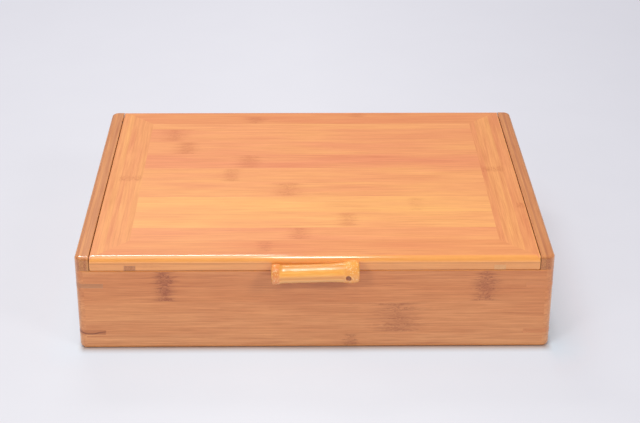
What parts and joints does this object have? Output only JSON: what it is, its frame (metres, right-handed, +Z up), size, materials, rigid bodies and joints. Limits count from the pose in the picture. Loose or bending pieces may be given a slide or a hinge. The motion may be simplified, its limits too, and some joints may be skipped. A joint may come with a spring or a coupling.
{
  "type": "tea ceremony box",
  "caption": "Low rectangular laminated-bamboo tea ceremony box with a framed lid that turns up between its side boards on rear pivot pins, lifted by a bamboo root pull.",
  "frame": {"origin": "on the ground, at the centre of the whole footprint with the pull counted", "axes": "+X to the right along the box's width, -Y out of the front where the pull is, +Z up"},
  "size_m": [0.33, 0.2696, 0.072],
  "materials": {
    "end_boards": "laminated bamboo, satin lacquer",
    "side_boards": "laminated bamboo, satin lacquer",
    "bottom_board": "laminated bamboo, satin lacquer",
    "slip_keys": "darker bamboo, satin lacquer",
    "dowel_bamboo": "round bamboo rod, end grain, satin lacquer",
    "hidden_splines": "bare bamboo",
    "lid_frame": "laminated bamboo, satin lacquer",
    "lid_panel": "laminated bamboo in wide strips, satin lacquer",
    "battens": "bamboo, end grain at both ends, satin lacquer",
    "bamboo_root": "polished bamboo root with rings of root scars"
  },
  "bodies": {
    "carcass": {"front_panel": "end_boards", "back_panel": "end_boards", "left_side_panel": "side_boards", "right_side_panel": "side_boards", "bottom_panel": "bottom_board", "front_left_upper_key": "slip_keys", "front_left_lower_key": "slip_keys", "front_right_upper_key": "slip_keys", "front_right_lower_key": "slip_keys", "back_left_upper_key": "slip_keys", "back_left_lower_key": "slip_keys", "back_right_upper_key": "slip_keys", "back_right_lower_key": "slip_keys", "left_pivot_pin": "dowel_bamboo", "right_pivot_pin": "dowel_bamboo"},
    "lid": {"lid_front_rail": "lid_frame", "lid_back_rail": "lid_frame", "lid_left_stile": "lid_frame", "lid_right_stile": "lid_frame", "lid_panel": "lid_panel", "lid_left_batten": "battens", "lid_right_batten": "battens", "lid_front_left_spline": "hidden_splines", "lid_front_right_spline": "hidden_splines", "lid_back_left_spline": "hidden_splines", "lid_back_right_spline": "hidden_splines", "root_pull": "bamboo_root", "left_pull_dowel": "dowel_bamboo", "right_pull_dowel": "dowel_bamboo"}
  },
  "joints": [
    {"name": "lid_hinge", "type": "hinge", "parent": "carcass", "child": "lid", "pos_m": [0, 0.1298, 0.067], "axis": [-1, 0, 0], "range_deg": [0, 102]}
  ]
}
